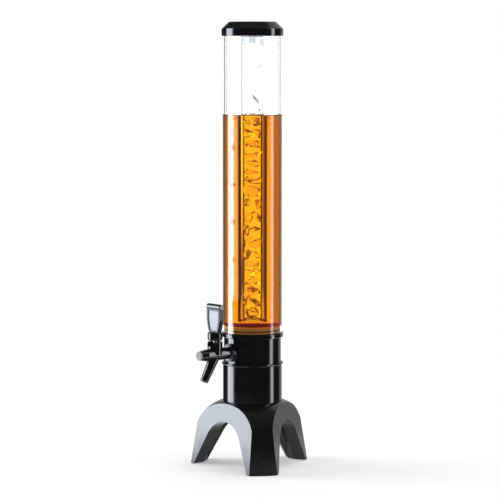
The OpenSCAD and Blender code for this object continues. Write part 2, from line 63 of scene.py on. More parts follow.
class Body(Enum):
    """The moving bodies of the model."""

    TOWER = "tower"
    LID = "lid"
    ICE = "ice_core"
    LEVER = "lever"
    VALVE = "valve"


# ---- Shader graphs ----


class Value:
    """A socket that carries a number, with the arithmetic of Python."""

    def __init__(self, graph: "Graph", socket: bpy.types.NodeSocket) -> None:
        """Wraps socket, which belongs to graph."""
        self.graph = graph
        self.socket = socket

    def maths(self, operation: str, *others: "Value | float", clamp: bool = False) -> "Value":
        """Adds one Math node.

        Args:
            operation: the node's operation.
            others: its second and third operands.
            clamp: whether the result stays from 0 to 1.

        Returns:
            The node's result.
        """
        inputs = dict(enumerate((self, *others)))
        made = self.graph.node("ShaderNodeMath", {"operation": operation, "use_clamp": clamp}, inputs)
        return Value(self.graph, made.outputs[0])

    def __add__(self, other: "Value | float") -> "Value":
        """Sum."""
        return self.maths("ADD", other)

    __radd__ = __add__

    def __sub__(self, other: "Value | float") -> "Value":
        """Difference."""
        return self.maths("SUBTRACT", other)

    def __rsub__(self, other: float) -> "Value":
        """Difference from a plain number."""
        return (self * -1.0) + other

    def __mul__(self, other: "Value | float") -> "Value":
        """Product."""
        return self.maths("MULTIPLY", other)

    __rmul__ = __mul__

    def __pow__(self, other: float) -> "Value":
        """Power."""
        return self.maths("POWER", other)

    def ramp(self, low: float, high: float, start: float = 0.0, end: float = 1.0) -> "Value":
        """A smooth step.

        Args:
            low: where the step begins.
            high: where it ends.
            start: the result before the step.
            end: the result after it.

        Returns:
            The stepped value.
        """
        made = self.graph.node(
            "ShaderNodeMapRange",
            {"interpolation_type": "SMOOTHSTEP"},
            {"Value": self, "From Min": low, "From Max": high, "To Min": start, "To Max": end},
        )
        return Value(self.graph, made.outputs["Result"])


class Graph:
    """The nodes of one material or of the world."""

    def __init__(self, tree: bpy.types.NodeTree) -> None:
        """Empties tree, which the graph then fills."""
        self.tree = tree
        tree.nodes.clear()

    def node(
        self, kind: str, settings: Optional[dict] = None, inputs: Optional[dict] = None
    ) -> bpy.types.Node:
        """Adds a node.

        Args:
            kind: the node's type.
            settings: its properties, set before its sockets; stops are (place, colour) pairs of a ramp.
            inputs: values or links of its sockets, by name or by number.

        Returns:
            The node.
        """
        made = self.tree.nodes.new(kind)
        for name, setting in (settings or {}).items():
            if name == "stops":
                ramp = made.color_ramp
                while len(ramp.elements) < len(setting):
                    ramp.elements.new(0.5)
                for element, (place, colour) in zip(ramp.elements, setting):
                    element.position = place
                    element.color = (*colour, 1.0)
            else:
                setattr(made, name, setting)
        for key, given in (inputs or {}).items():
            socket = made.inputs[key]
            if isinstance(given, Value):
                self.tree.links.new(given.socket, socket)
            elif isinstance(given, bpy.types.NodeSocket):
                self.tree.links.new(given, socket)
            elif isinstance(given, tuple) and len(given) == 3 and socket.type == "RGBA":
                socket.default_value = (*given, 1.0)
            else:
                socket.default_value = given
        return made

    def value(self, socket: bpy.types.NodeSocket) -> Value:
        """Wraps a socket of this graph."""
        return Value(self, socket)

    def axes(self, vector: bpy.types.NodeSocket) -> tuple[Value, Value, Value]:
        """The three parts of a vector."""
        made = self.node("ShaderNodeSeparateXYZ", {}, {0: vector})
        return self.value(made.outputs[0]), self.value(made.outputs[1]), self.value(made.outputs[2])

    def place(
        self, scale: Sequence[float] = (1, 1, 1), turn: Sequence[float] = (0, 0, 0)
    ) -> bpy.types.NodeSocket:
        """Object coordinates through a Mapping node.

        Args:
            scale: how much the pattern shrinks along each axis.
            turn: how it is turned, in radians.

        Returns:
            The mapped coordinates.
        """
        source = self.node("ShaderNodeTexCoord").outputs["Object"]
        mapped = self.node("ShaderNodeMapping", {}, {"Vector": source, "Scale": scale, "Rotation": turn})
        return mapped.outputs[0]

    def noise(
        self, where: bpy.types.NodeSocket, scale: float, detail: float = 3.0, rough: float = 0.5
    ) -> Value:
        """Cloudy noise from 0 to 1.

        Args:
            where: the coordinates.
            scale: how fine it is, per metre.
            detail: how many octaves it has.
            rough: how strong the fine ones are.

        Returns:
            The noise.
        """
        made = self.node(
            "ShaderNodeTexNoise", {}, {"Vector": where, "Scale": scale, "Detail": detail, "Roughness": rough}
        )
        return self.value(made.outputs["Fac"])

    def blend(self, amount: "Value | float", first: object, second: object) -> bpy.types.NodeSocket:
        """Mixes two colours.

        Args:
            amount: the share of the second.
            first: a colour or a colour's socket.
            second: the other one.

        Returns:
            The mixed colour.
        """
        made = self.node("ShaderNodeMix", {"data_type": "RGBA"}, {0: amount, 6: first, 7: second})
        return made.outputs[2]

    def bump(self, height: Value, strength: float, distance: float) -> bpy.types.NodeSocket:
        """A bumped normal.

        Args:
            height: the relief, from 0 to 1.
            strength: the share of it that shows.
            distance: its depth in metres.

        Returns:
            The normal.
        """
        made = self.node("ShaderNodeBump", {}, {"Height": height, "Strength": strength, "Distance": distance})
        return made.outputs[0]

    def mix_shaders(
        self, amount: object, first: bpy.types.NodeSocket, second: bpy.types.NodeSocket
    ) -> bpy.types.NodeSocket:
        """Mixes two shaders by amount, the share of the second, and returns the result."""
        return self.node("ShaderNodeMixShader", {}, {0: amount, 1: first, 2: second}).outputs[0]

    def show(self, surface: bpy.types.NodeSocket, volume: Optional[bpy.types.NodeSocket] = None) -> None:
        """Connects the material's output to its surface and its volume."""
        inputs = {"Surface": surface}
        if volume is not None:
            inputs["Volume"] = volume
        self.node("ShaderNodeOutputMaterial", {}, inputs)


# ---- Finishes ----


@dataclass(frozen=True)
class Finish:
    """What every finish has: its material's name."""

    name: str

    def graph(self) -> tuple[bpy.types.Material, Graph]:
        """A new material and its empty graph."""
        material = bpy.data.materials.new(self.name)
        material.use_nodes = True
        return material, Graph(material.node_tree)

    def material(self) -> bpy.types.Material:
        """Builds the material."""
        raise NotImplementedError


@dataclass(frozen=True)
class GlossPlastic(Finish):
    """Moulded plastic: polished, with faint ripple, rubbed patches, hairlines and dust.

    Above a given height and inside a given radius, it takes the colour of lit drink, fading over given
    widths: a film of drink painted as bright as light through the drink, a painted glow.
    It is scuffed from the floor up to scuff_height.
    """

    colour: Colour
    gloss: float = 0.1
    specular: float = 0.6
    ripple: float = 0.05
    dust: float = 0.5
    scuff: float = 0.0
    drink_glow: Optional[Span] = None
    drink_glow_colour: Colour = (0.95, 0.33, 0.015)
    drink_glow_soft: Span = (0.6, 0.8)
    scuff_height: float = 85.0
    dust_colour: Colour = (0.3, 0.3, 0.31)
    wave_depth: float = 0.0008

    def material(self) -> bpy.types.Material:
        """Builds the material."""
        material, g = self.graph()
        where = g.place()
        x, y, z = g.axes(where)
        rubbed = g.noise(where, 28, 4, 0.6).ramp(0.42, 0.72)
        hair = g.noise(g.place((1, 1, 0.02), (0.1, 0.07, 0)), 1400, 2).ramp(0.66, 0.74)
        dusty = self.dusty(g, where)
        roughness = self.gloss + rubbed * 0.05 + hair * 0.12 + dusty * 0.5
        if self.scuff:
            low = z.ramp(0.0, self.scuff_height * MM, 1.0, 0.0)
            roughness = roughness + low * (rubbed * 0.3 + 0.85) * self.scuff
        wave = g.noise(where, 55, 2) + g.noise(where, 420, 2) * 0.25
        colour = g.blend(rubbed * 0.5, self.colour, tuple(c * 1.35 + 0.002 for c in self.colour))
        colour = g.blend(dusty * 0.6, colour, self.dust_colour)
        # Painted glow: a film of drink coloured as bright as drink lit from behind, standing in for light
        # through the drink.
        if self.drink_glow:
            (bottom, radius), (soft_up, soft_out) = self.drink_glow, self.drink_glow_soft
            reach = (x * x + y * y) ** 0.5
            wet = z.ramp(bottom * MM, (bottom + soft_up) * MM) * reach.ramp(
                radius * MM, (radius + soft_out) * MM, 1.0, 0.0
            )
            colour = g.blend(wet * (rubbed * 0.3 + 0.7), colour, self.drink_glow_colour)
        shader = g.node(
            "ShaderNodeBsdfPrincipled",
            {},
            {
                "Base Color": colour,
                "Roughness": roughness,
                "Specular IOR Level": self.specular,
                "Normal": g.bump(wave, self.ripple, self.wave_depth),
            },
        )
        g.show(shader.outputs[0])
        return material

    def dusty(self, g: Graph, where: bpy.types.NodeSocket) -> Value:
        """Flecks of dust, more of them on faces that look up.

        Args:
            g: the material's graph.
            where: its coordinates.

        Returns:
            How much dust lies at each point.
        """
        cells = g.node("ShaderNodeTexVoronoi", {}, {"Vector": where, "Scale": 900, "Randomness": 1.0})
        fleck = g.value(cells.outputs["Distance"]).ramp(0.05, 0.11, 1.0, 0.0)
        some = g.noise(where, 310, 1).ramp(0.58, 0.66)
        up = g.axes(g.node("ShaderNodeNewGeometry").outputs["Normal"])[2]
        return fleck * some * up.ramp(-0.2, 0.9, 0.35, 1.0) * self.dust


@dataclass(frozen=True)
class Rubber(Finish):
    """Matt moulded rubber with a fine grain and a pale bloom."""

    colour: Colour = (0.02, 0.02, 0.021)

    def material(self) -> bpy.types.Material:
        """Builds the material."""
        material, g = self.graph()
        where = g.place()
        bloom = g.noise(where, 60, 4, 0.65).ramp(0.45, 0.75)
        grain = g.noise(where, 2600, 2)
        shader = g.node(
            "ShaderNodeBsdfPrincipled",
            {},
            {
                "Base Color": g.blend(bloom * 0.5, self.colour, (0.07, 0.07, 0.072)),
                "Roughness": bloom * 0.14 + 0.62,
                "Specular IOR Level": 0.35,
                "Normal": g.bump(grain, 0.3, 0.0003),
            },
        )
        g.show(shader.outputs[0])
        return material


@dataclass(frozen=True)
class Metal(Finish):
    """Turned or plated metal, with fine rings of tool marks and rubbed patches."""

    colour: Colour
    gloss: float = 0.22
    grain: float = 0.1
    along: Sequence[float] = (1.0, 1.0, 0.03)

    def material(self) -> bpy.types.Material:
        """Builds the material."""
        material, g = self.graph()
        lines = g.noise(g.place(self.along), 3000, 2)
        worn = g.noise(g.place(), 160, 3).ramp(0.4, 0.75)
        shader = g.node(
            "ShaderNodeBsdfPrincipled",
            {},
            {
                "Base Color": g.blend(worn * 0.6, self.colour, tuple(c * 0.82 for c in self.colour)),
                "Metallic": 1.0,
                "Roughness": self.gloss + lines * self.grain + worn * 0.08,
                "Normal": g.bump(lines, 0.12, 0.0002),
            },
        )
        g.show(shader.outputs[0])
        return material


@dataclass(frozen=True)
class Clear(Finish):
    """Clear or tinted solid that light goes through, with faint wipe marks.

    The rim is painted shade: a darker tint where the surface turns away from view by a band of facing, up to
    a top height; above that height it takes an upper tint, a painted pale outline.
    Over the height fade, refraction gives way to plain see-through by fade_share.
    """

    tint: Colour = (1.0, 1.0, 1.0)
    ior: float = 1.49
    rough: float = 0.0
    marks: float = 0.03
    ripple: float = 0.0
    absorbs: Optional[Colour] = None
    density: float = 0.0
    rim: Optional[Colour] = None
    edge_shade_band: tuple[float, ...] = (0.35, 0.42, 0.62, 0.7)
    edge_shade_top: float = 1000.0
    edge_shade_above: Colour = (1.0, 1.0, 1.0)
    fade: float = 0.0
    fade_share: float = 0.65
    lets: Colour = (0.97, 0.975, 0.98)

    def material(self) -> bpy.types.Material:
        """Builds the material."""
        material, g = self.graph()
        streak = g.noise(g.place((1, 1, 0.12)), 180, 3).ramp(0.62, 0.8)
        tint = self.tint
        # Painted shade: the outline darkens where the surface turns away from view, and takes the upper tint
        # above the top height.
        if self.rim:
            facing = g.value(g.node("ShaderNodeLayerWeight", {}, {"Blend": 0.5}).outputs["Facing"])
            height = g.axes(g.place())[2]
            edge = facing.ramp(*self.edge_shade_band[:2]) - facing.ramp(*self.edge_shade_band[2:])
            over = height.ramp(self.edge_shade_top * MM, (self.edge_shade_top + 1.5) * MM)
            tint = g.blend(edge, self.tint, g.blend(over, self.rim, self.edge_shade_above))
        inputs = {
            "Base Color": tint,
            "Roughness": streak * self.marks + self.rough if self.marks else self.rough,
            "IOR": self.ior,
            "Transmission Weight": 1.0,
        }
        if self.ripple:
            inputs["Normal"] = g.bump(g.noise(g.place(), 260, 3), self.ripple, 0.001)
        glass = g.node("ShaderNodeBsdfPrincipled", {}, inputs).outputs[0]
        through = g.node("ShaderNodeBsdfTransparent", {}, {"Color": self.lets}).outputs[0]
        if self.fade:
            plain = g.axes(g.place())[2].ramp(self.fade * MM, (self.fade + 6) * MM)
            glass = g.mix_shaders(plain * self.fade_share, glass, through)
        shadow = g.node("ShaderNodeLightPath").outputs["Is Shadow Ray"]
        volume = None
        if self.absorbs:
            volume = g.node(
                "ShaderNodeVolumeAbsorption", {}, {"Color": self.absorbs, "Density": self.density}
            ).outputs[0]
        g.show(g.mix_shaders(shadow, glass, through), volume)
        return material


@dataclass(frozen=True)
class Ice(Finish):
    """Broken ice: clear at the faces, with white cracks and trapped air."""

    milk: float = 0.03
    ior: float = 1.32
    tint: Colour = (0.98, 0.99, 1.0)
    stain: Colour = (1.0, 0.86, 0.6)

    def material(self) -> bpy.types.Material:
        """Builds the material."""
        material, g = self.graph()
        where = g.place()
        cloud = g.noise(where, 130, 4, 0.6).ramp(0.45, 0.72)
        cells = {"Vector": where, "Scale": 120}
        edges = g.node("ShaderNodeTexVoronoi", {"feature": "DISTANCE_TO_EDGE"}, cells)
        crack = g.value(edges.outputs["Distance"]).ramp(0.0, 0.03, 1.0, 0.0)
        white = (cloud * 0.8 + crack * 0.5) * self.milk
        clear = g.node(
            "ShaderNodeBsdfPrincipled",
            {},
            {
                "Base Color": g.blend(g.noise(where, 45, 2).ramp(0.4, 0.6), self.tint, self.stain),
                "Roughness": cloud * 0.06,
                "IOR": self.ior,
                "Transmission Weight": 1.0,
                "Normal": g.bump(g.noise(where, 170, 2), 0.2, 0.0015),
            },
        ).outputs[0]
        milk = g.node("ShaderNodeBsdfDiffuse", {}, {"Color": (0.9, 0.9, 0.88)}).outputs[0]
        lets = g.node("ShaderNodeBsdfTransparent", {}, {"Color": (0.9, 0.92, 0.93)}).outputs[0]
        shadow = g.node("ShaderNodeLightPath").outputs["Is Shadow Ray"]
        g.show(g.mix_shaders(shadow, g.mix_shaders(white, clear, milk), lets))
        return material


@dataclass(frozen=True)
class Ink(Finish):
    """Printed marks, thin in places."""

    colour: Colour = (0.16, 0.13, 0.1)

    def material(self) -> bpy.types.Material:
        """Builds the material."""
        material, g = self.graph()
        thin = g.noise(g.place(), 1500, 3).ramp(0.4, 0.8)
        shader = g.node(
            "ShaderNodeBsdfPrincipled",
            {},
            {
                "Base Color": g.blend(thin, self.colour, tuple(c * 1.8 + 0.05 for c in self.colour)),
                "Roughness": thin * 0.2 + 0.6,
                "Specular IOR Level": 0.05,
            },
        )
        g.show(shader.outputs[0])
        return material


BLACK = GlossPlastic("Black plastic", (0.0035, 0.0035, 0.004))
BASE_BLACK = GlossPlastic("Base plastic", (0.0045, 0.0045, 0.005), scuff=0.22)
# Its cup is painted with the glow of lit drink above the spigot: painted light.
COLLAR_BLACK = GlossPlastic("Collar plastic", (0.0035, 0.0035, 0.004), drink_glow=(229.2, 47.2))
TAP_BLACK = GlossPlastic("Tap plastic", (0.0035, 0.0035, 0.004), gloss=0.12)
PALE = GlossPlastic("Pale insert plastic", (0.38, 0.39, 0.47), gloss=0.2, specular=0.3, ripple=0.03)
HANDLE_BLACK = GlossPlastic("Handle plastic", (0.0035, 0.0035, 0.004), gloss=0.16, specular=0.22)
SILVER = GlossPlastic("Satin silver paint", (0.3, 0.3, 0.3), gloss=0.42, specular=0.2, ripple=0.02)
PAD_RUBBER = Rubber("Foot rubber")
SEAL_RUBBER = Rubber("Seal rubber", (0.03, 0.03, 0.03))
STEEL = Metal("Turned steel", (0.6, 0.61, 0.62))
WASHER = GlossPlastic("White washer plastic", (0.8, 0.8, 0.78), gloss=0.4)
# The tube's outlines, where the wall turns away, are tinted darker: painted shade.
TUBE = Clear(
    "Clear tube",
    tint=(0.985, 0.99, 0.99),
    ior=1.49,
    marks=0.015,
    rim=(0.32, 0.305, 0.28),
    edge_shade_band=(0.56, 0.61, 0.69, 0.74),
)
# The ice tube's outlines are painted dark below the drink and painted grey above it: painted shade.
ICE_WALL = Clear(
    "Ice tube wall",
    tint=(0.985, 0.985, 0.98),
    ior=1.49,
    marks=0.02,
    rim=(0.003, 0.0006, 0.0002),
    edge_shade_band=(0.34, 0.4, 0.62, 0.7),
    edge_shade_top=595.0,
    edge_shade_above=(0.82, 0.81, 0.78),
    fade=712.0,
    lets=(0.93, 0.935, 0.94),
)
STOPPER = Clear(
    "Stopper plastic", tint=(0.62, 0.7, 0.8), ior=1.45, rough=0.12, marks=0.05, lets=(0.7, 0.76, 0.82)
)
DRINK = Clear(
    "Drink",
    ior=1.34,
    marks=0.0,
    absorbs=(0.991, 0.825, 0.0),
    density=105.0,
    lets=(1.0, 1.0, 1.0),
)
BUBBLE = Clear("Bubbles", ior=0.75, marks=0.0, lets=(1.0, 1.0, 1.0))
ICE = Ice("Broken ice", tint=(1.0, 0.97, 0.8), stain=(1.0, 0.84, 0.4))
FROST = Ice("Dry ice above the drink", milk=0.45, ior=1.07, stain=(0.99, 0.98, 0.95))
INK = Ink("Printed marks", (0.05, 0.035, 0.022))


# ---- Making pieces ----


@dataclass
class Shop:
    """Makes finished pieces: keeps the materials and the list of what was made."""

    materials: dict[str, bpy.types.Material] = field(default_factory=dict)
    made: list[str] = field(default_factory=list)

    def material(self, finish: Finish) -> bpy.types.Material:
        """The material of a finish, built once."""
        if finish.name not in self.materials:
            self.materials[finish.name] = finish.material()
        return self.materials[finish.name]

    def piece(
        self,
        name: str,
        bm: bmesh.types.BMesh,
        finish: Finish,
        body: Body,
        slot: str,
        replaces: Sequence[str] = (),
        weighted: bool = True,
        turn_out: bool = True,
    ) -> bpy.types.Object:
        """slot: the name of a material slot; not used.
            replaces: the nodes that it stands for.
            weighted: whether flat faces keep their shading beside rounded edges.
            turn_out: whether the normals are recalculated.

        Returns:
            The piece.
        """
        if turn_out:
            bmesh.ops.recalc_face_normals(bm, faces=bm.faces[:])
        mesh = bpy.data.meshes.new(name)
        bm.to_mesh(mesh)
        bm.free()
        mesh.shade_smooth()
        mesh.set_sharp_from_angle(angle=math.radians(SHARP_ANGLE))
        mesh.materials.append(self.material(finish))
        piece = bpy.data.objects.new(name, mesh)
        bpy.context.scene.collection.objects.link(piece)
        if weighted:
            modifier = piece.modifiers.new("Even shading", "WEIGHTED_NORMAL")
            modifier.keep_sharp = True
            modifier.weight = EVEN_WEIGHT
        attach(piece, body.value)
        if replaces:
            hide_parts(*replaces)
        self.made.append(name)
        LOG.info("%s: %d faces", name, len(mesh.polygons))
        return piece

    def dress(self, node: str, finish: Finish) -> None:
        """Gives a node of the frame its finish, on its own mesh."""
        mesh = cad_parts[node].data
        mesh.materials.clear()
        mesh.materials.append(self.material(finish))
        LOG.info("%s: dressed in %s", node, finish.name)


def turned(outline: Sequence[Point], closed: bool = False, soften: float = 0.0) -> bmesh.types.BMesh:
    """Spins an outline round the Z axis.

    Args:
        outline: (radius, height) points in millimetres, from axis to axis, or round a ring.
        closed: whether the outline closes on itself, as a ring's does.
        soften: the width of the rounded edges in millimetres.

    Returns:
        The solid, in metres.
    """
    bm = bmesh.new()
    verts = [bm.verts.new((r * MM, 0.0, z * MM)) for r, z in outline]
    pairs = list(zip(verts, verts[1:]))
    if closed:
        pairs.append((verts[-1], verts[0]))
    edges = [bm.edges.new(pair) for pair in pairs]
    bmesh.ops.spin(
        bm,
        geom=verts + edges,
        cent=(0, 0, 0),
        axis=(0, 0, 1),
        angle=TURN,
        steps=ROUND_STEPS,
        use_merge=True,
    )
    bmesh.ops.remove_doubles(bm, verts=bm.verts[:], dist=1e-7)
    bmesh.ops.dissolve_degenerate(bm, edges=bm.edges[:], dist=1e-8)
    bmesh.ops.recalc_face_normals(bm, faces=bm.faces[:])
    if soften:
        round_edges(bm, soften)
    return bm


def swept(bm: bmesh.types.BMesh, outline: Sequence[Point], start: float, end: float, steps: int) -> None:
    """Adds a bar bent round the Z axis, closed at both ends.

    Args:
        bm: the mesh that it goes into, in metres.
        outline: the (radius, height) corners of its section in millimetres.
        start: the angle of its first end from -Y, in radians.
        end: the angle of its other end.
        steps: how many pieces it is bent in.
    """
    rings = []
    for k in range(steps + 1):
        turn = start + (end - start) * k / steps
        way = Vector((math.sin(turn), -math.cos(turn), 0))
        rings.append([bm.verts.new((way * r + Vector((0, 0, z))) * MM) for r, z in outline])
    for near, away in zip(rings, rings[1:]):
        for k in range(len(outline)):
            bm.faces.new((near[k], near[k - 1], away[k - 1], away[k]))
    bm.faces.new(rings[0])
    bm.faces.new(rings[-1][::-1])


def round_edges(bm: bmesh.types.BMesh, width: float, angle: float = 24.0, segments: int = 3) -> None:
    """Rounds the sharp edges of a mesh.

    Args:
        bm: the mesh, in metres.
        width: the width of a rounded edge in millimetres.
        angle: how sharp an edge has to be, in degrees.
        segments: how many faces round an edge.
    """
    limit = math.radians(angle)
    sharp = [e for e in bm.edges if len(e.link_faces) == 2 and e.calc_face_angle(0.0) > limit]
    bmesh.ops.bevel(
        bm,
        geom=sharp,
        offset=width * MM,
        offset_type="OFFSET",
        segments=segments,
        profile=0.5,
        affect="EDGES",
        material=-1,
        clamp_overlap=True,
    )


def rounded(node: str, width: float, angle: float, segments: int = 3) -> bmesh.types.BMesh:
    """A merged copy of a node's mesh, with its flat faces whole and its sharp edges rounded.

    Args:
        node: the node's name.
        width: the width of a rounded edge in millimetres.
        angle: how sharp an edge has to be, in degrees.
        segments: how many faces round an edge.

    Returns:
        The copy, in metres.
    """
    bm = bmesh.new()
    bm.from_mesh(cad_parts[node].data)
    bmesh.ops.remove_doubles(bm, verts=bm.verts[:], dist=2e-6)
    flat = math.radians(FLAT_ANGLE)
    bmesh.ops.dissolve_limit(bm, angle_limit=flat, verts=bm.verts[:], edges=bm.edges[:], delimit={"NORMAL"})
    round_edges(bm, width, angle, segments)
    return bm


# ---- Tower ----


@dataclass
class Tube:
    """The clear tube, the drink in it, its bubbles and its printed numbers."""

    radius: float = 50.0
    bore: float = 47.0
    bottom: float = 223.0
    top: float = 739.0
    cup_bore: float = 42.8
    cup_floor: float = 182.0
    cup_top: float = 240.8
    level: float = 596.0
    lap: float = 0.03
    core_lap: float = 0.3
    core: float = 19.75
    core_bottom: float = 246.5
    core_round: float = 3.0
    core_corner: float = 0.9
    mark_heights: tuple[float, ...] = (291.2, 354.8, 418.3, 480.7, 542.8)
    mark_turn: float = 11.0
    mark_size: float = 10.0
    mark_stretch: float = 1.15
    mark_lift: float = 0.09
    mark_bold: float = 0.2
    mark_deep: float = 0.03
    tick_across: float = -5.4
    tick_apart: float = 3.6
    tick_long: float = 3.6
    tick_short: float = 2.2
    tick_steps: int = 4
    tick_reach: Span = (0.05, 0.12)
    tick_half: float = 0.5
    meniscus_wall: tuple[Point, ...] = ((0.0, 2.0), (0.5, 1.1), (1.3, 0.5), (2.6, 0.12), (4.5, 0.0))
    meniscus_core: tuple[Point, ...] = ((3.4, 0.0), (2.0, 0.15), (1.0, 0.5), (0.4, 1.0), (0.0, 1.7))
    bubble_count: int = 150
    bubble_radii: Span = (0.35, 0.95)
    bubble_small: float = 0.6
    wall_gap: Span = (0.2, 1.6)
    wall_depth: Span = (0.4, 3.0)
    core_gap: Span = (0.3, 2.5)
    core_depth: Span = (0.6, 5.0)
    free_gap: float = 2.0
    free_depth: Span = (2.0, 70.0)

    def build(self, shop: Shop) -> None:
        """Makes the tube and what is in and on it."""
        self.wall(shop)
        self.drink(shop)
        self.bubbles(shop)
        self.marks(shop)

    def wall(self, shop: Shop) -> None:
        """The tube's wall."""
        outline = [
            (self.bore, self.bottom),
            (self.radius, self.bottom),
            (self.radius, self.top),
            (self.bore, self.top),
        ]
        bm = turned(outline, closed=True, soften=0.4)
        shop.piece("clear_tube_wall", bm, TUBE, Body.TOWER, "clear_tube", ["main_tube"])

    def drink(self, shop: Shop) -> None:
        """The drink, from the collar's cup to its level, with a bore for the ice tube."""
        side, core, level = self.bore + self.lap, self.core - self.core_lap, self.level
        bottom = self.core_bottom + self.core_lap
        outline = [
            (0, self.cup_floor),
            (self.cup_bore + self.lap, self.cup_floor),
            (self.cup_bore + self.lap, self.cup_top - self.lap),
            (side, self.cup_top - self.lap),
            *((side - away, level + up) for away, up in self.meniscus_wall),
            *((core + away, level + up) for away, up in self.meniscus_core),
            (core, self.core_bottom + self.core_round),
            (core - self.core_corner, self.core_bottom + self.core_corner + self.core_lap),
            (core - self.core_round, bottom),
            (0, bottom),
        ]
        bm = turned(outline)
        shop.piece("drink", bm, DRINK, Body.TOWER, "clear_tube", weighted=False)

    def bubbles(self, shop: Shop) -> None:
        """Small bubbles: at the tube's wall, at the ice tube and, smaller, free in the drink."""
        draw = random.Random(11)
        bm = bmesh.new()
        for k in range(self.bubble_count):
            radius = draw.uniform(*self.bubble_radii)
            if k % 3 == 0:
                out = self.bore - radius - draw.uniform(*self.wall_gap)
                deep = draw.uniform(*self.wall_depth)
            elif k % 3 == 1:
                out = self.core + radius + draw.uniform(*self.core_gap)
                deep = draw.uniform(*self.core_depth)
            else:
                out = draw.uniform(self.core + self.free_gap, self.bore - self.free_gap)
                deep = draw.uniform(*self.free_depth)
                radius *= self.bubble_small
            turn = draw.uniform(0, TURN)
            at = Vector((out * math.cos(turn), out * math.sin(turn), self.level - deep - radius)) * MM
            bmesh.ops.create_icosphere(bm, subdivisions=2, radius=radius * MM, matrix=Matrix.Translation(at))
        shop.piece("drink_bubbles", bm, BUBBLE, Body.TOWER, "clear_tube", weighted=False)

    def marks(self, shop: Shop) -> None:
        """Plain numbers with a tick each, printed on the tube."""
        bm = bmesh.new()
        for k, height in enumerate(self.mark_heights):
            self.number(bm, str(k + 1), height)
            self.tick(bm, height, self.tick_long)
            self.tick(bm, height + self.tick_apart, self.tick_short)
            self.tick(bm, height - self.tick_apart, self.tick_short)
        shop.piece("printed_numbers", bm, INK, Body.TOWER, "clear_tube", weighted=False)

    def number(self, bm: bmesh.types.BMesh, text: str, height: float) -> None:
        """Adds a number, bent round the tube.

        Args:
            bm: the mesh that it goes into.
            text: the number.
            height: the height of its middle.
        """
        curve = bpy.data.curves.new("Number", "FONT")
        curve.body = text
        curve.size = self.mark_size
        curve.offset = self.mark_bold
        curve.align_x = "CENTER"
        curve.align_y = "CENTER"
        curve.extrude = self.mark_deep
        curve.resolution_u = 3
        holder = bpy.data.objects.new("Number", curve)
        bpy.context.scene.collection.objects.link(holder)
        shown = holder.evaluated_get(bpy.context.evaluated_depsgraph_get())
        mesh = bpy.data.meshes.new_from_object(shown)
        bpy.data.objects.remove(holder)
        bpy.data.curves.remove(curve)
        for vertex in mesh.vertices:
            across, up, out = vertex.co
            turn = math.radians(self.mark_turn) + across * self.mark_stretch / self.radius
            reach = (self.radius + self.mark_lift + out) * MM
            vertex.co = (reach * math.sin(turn), -reach * math.cos(turn), (height + up) * MM)
        bm.from_mesh(mesh)
        bpy.data.meshes.remove(mesh)

    def tick(self, bm: bmesh.types.BMesh, height: float, width: float) -> None:
        """Adds a printed line beside the numbers.

        Args:
            bm: the mesh that it goes into.
            height: its height.
            width: its length.
        """
        middle = math.radians(self.mark_turn) + self.tick_across / self.radius
        reach = width / 2 / self.radius
        inner, outer = (self.radius + lift for lift in self.tick_reach)
        low, high = height - self.tick_half, height + self.tick_half
        section = [(inner, low), (outer, low), (outer, high), (inner, high)]
        swept(bm, section, middle - reach, middle + reach, self.tick_steps)


@dataclass
class Collar:
    """The black collar, the column under it and the base, on the frame's own meshes with rounded edges."""

    rounds: tuple[tuple[str, float, Finish], ...] = (
        ("tap_housing", 0.35, COLLAR_BLACK),
        ("column_shell", 0.3, BLACK),
        ("tripod_base", 0.7, BASE_BLACK),
    )
    edge_angle: float = 26.0

    def build(self, shop: Shop) -> None:
        """Makes the rounded copies and dresses what stays."""
        for node, width, finish in self.rounds:
            bm = rounded(node, width, self.edge_angle)
            shop.piece(f"{node}_rounded", bm, finish, Body.TOWER, "gloss_black", [node], turn_out=False)
        shop.dress("foot_pads", PAD_RUBBER)
        shop.dress("base_screws", STEEL)
        shop.dress("tube_seal", SEAL_RUBBER)


